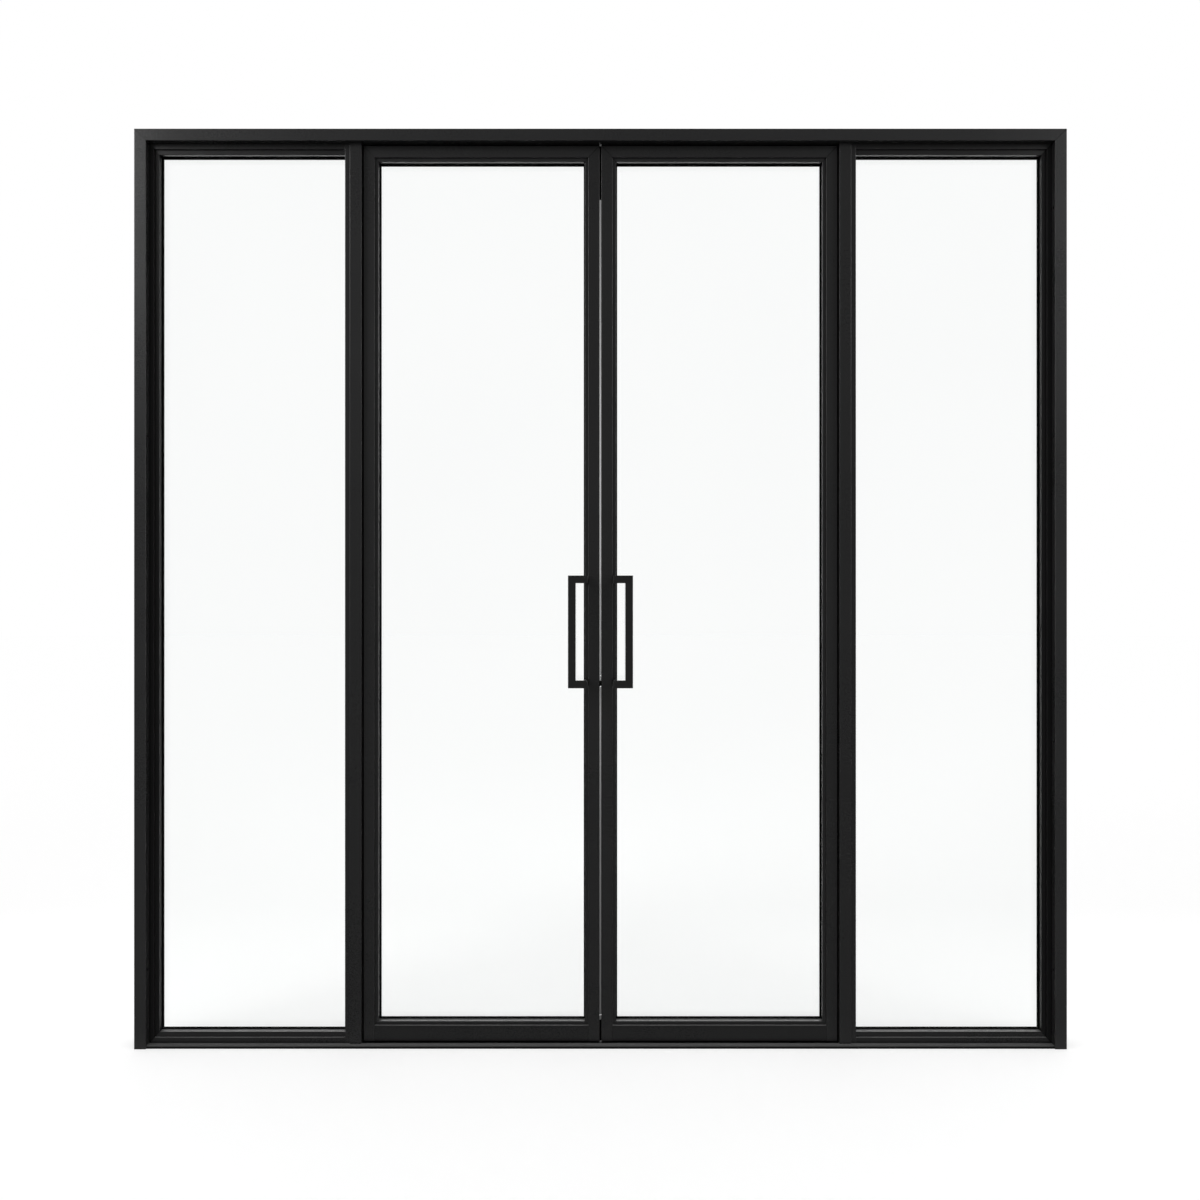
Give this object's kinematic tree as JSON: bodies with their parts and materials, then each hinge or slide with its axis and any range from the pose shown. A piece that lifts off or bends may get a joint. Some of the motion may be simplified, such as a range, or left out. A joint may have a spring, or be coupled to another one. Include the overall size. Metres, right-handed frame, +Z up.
{
  "type": "french doors",
  "caption": "Black metal-framed french doors with slim glazed leaves, fixed glazed sidelights, square offset pulls, and the outer frame that fixes into a wall opening.",
  "frame": {"origin": "middle of the sill's underside, at half of the frame's depth", "axes": "+X to the viewer's right along the sill, +Y from the viewer through the doorway, +Z up"},
  "size_m": [2.44, 0.176, 2.408],
  "materials": {
    "frame_metal": "matte black powder coat",
    "sill_metal": "matte black powder coat",
    "clear_glass": "clear float",
    "spacer_bar": "black anodised",
    "cleat_metal": "mill finish",
    "black_rubber": "matte",
    "grey_pile": "short woven pile",
    "pull_metal": "matte black powder coat",
    "hinge_metal": "satin black",
    "bolt_steel": "satin",
    "case_steel": "satin black"
  },
  "bodies": {
    "frame": {"head": "frame_metal", "left_jamb": "frame_metal", "right_jamb": "frame_metal", "sill": "sill_metal", "rebate_seal": "black_rubber", "frame_corner_cleats": "cleat_metal", "hinge_pins": "bolt_steel", "left_mullion": "frame_metal", "left_sidelight_stile": "frame_metal", "left_sidelight_top_rail": "frame_metal", "left_sidelight_bottom_rail": "frame_metal", "left_sidelight_panes": "clear_glass", "left_sidelight_spacer": "spacer_bar", "left_sidelight_gaskets": "black_rubber", "left_sidelight_beads": "frame_metal", "left_hinge_frame_plates": "hinge_metal", "right_mullion": "frame_metal", "right_sidelight_stile": "frame_metal", "right_sidelight_top_rail": "frame_metal", "right_sidelight_bottom_rail": "frame_metal", "right_sidelight_panes": "clear_glass", "right_sidelight_spacer": "spacer_bar", "right_sidelight_gaskets": "black_rubber", "right_sidelight_beads": "frame_metal", "right_hinge_frame_plates": "hinge_metal"},
    "left_leaf": {"left_hinge_stile": "frame_metal", "left_meeting_stile": "frame_metal", "left_top_rail": "frame_metal", "left_bottom_rail": "frame_metal", "left_leaf_panes": "clear_glass", "left_leaf_spacer": "spacer_bar", "left_leaf_gaskets": "black_rubber", "left_leaf_beads": "frame_metal", "left_hinge_leaf_plates": "hinge_metal", "left_outer_pull": "pull_metal", "left_inner_pull": "pull_metal", "left_meeting_pile": "grey_pile", "left_edge_rubbers": "black_rubber", "left_leaf_cleats": "cleat_metal", "top_bolt_case": "case_steel", "bottom_bolt_case": "case_steel", "catch_strike": "case_steel"},
    "right_leaf": {"right_hinge_stile": "frame_metal", "right_meeting_stile": "frame_metal", "right_top_rail": "frame_metal", "right_bottom_rail": "frame_metal", "right_leaf_panes": "clear_glass", "right_leaf_spacer": "spacer_bar", "right_leaf_gaskets": "black_rubber", "right_leaf_beads": "frame_metal", "right_hinge_leaf_plates": "hinge_metal", "right_outer_pull": "pull_metal", "right_inner_pull": "pull_metal", "right_meeting_pile": "grey_pile", "right_edge_rubbers": "black_rubber", "right_leaf_cleats": "cleat_metal", "catch_case": "case_steel"},
    "top_bolt": {"top_bolt": "bolt_steel"},
    "bottom_bolt": {"bottom_bolt": "bolt_steel"},
    "catch_bolt": {"catch_bolt": "bolt_steel"}
  },
  "joints": [
    {"name": "left_leaf_swing", "type": "hinge", "parent": "frame", "child": "left_leaf", "pos_m": [-0.634, 0.0523, 1.1925], "axis": [0, 0, 1], "range_deg": [0, 100]},
    {"name": "right_leaf_swing", "type": "hinge", "parent": "frame", "child": "right_leaf", "pos_m": [0.634, 0.0523, 1.1925], "axis": [0, 0, -1], "range_deg": [0, 100]},
    {"name": "top_bolt_slide", "type": "slide", "parent": "left_leaf", "child": "top_bolt", "axis": [0, 0, 1], "range_m": [0, 0.014]},
    {"name": "bottom_bolt_slide", "type": "slide", "parent": "left_leaf", "child": "bottom_bolt", "axis": [0, 0, -1], "range_m": [0, 0.01]},
    {"name": "catch_bolt_slide", "type": "slide", "parent": "right_leaf", "child": "catch_bolt", "axis": [1, 0, 0], "range_m": [0, 0.003], "stiffness_N_per_m": 600}
  ]
}
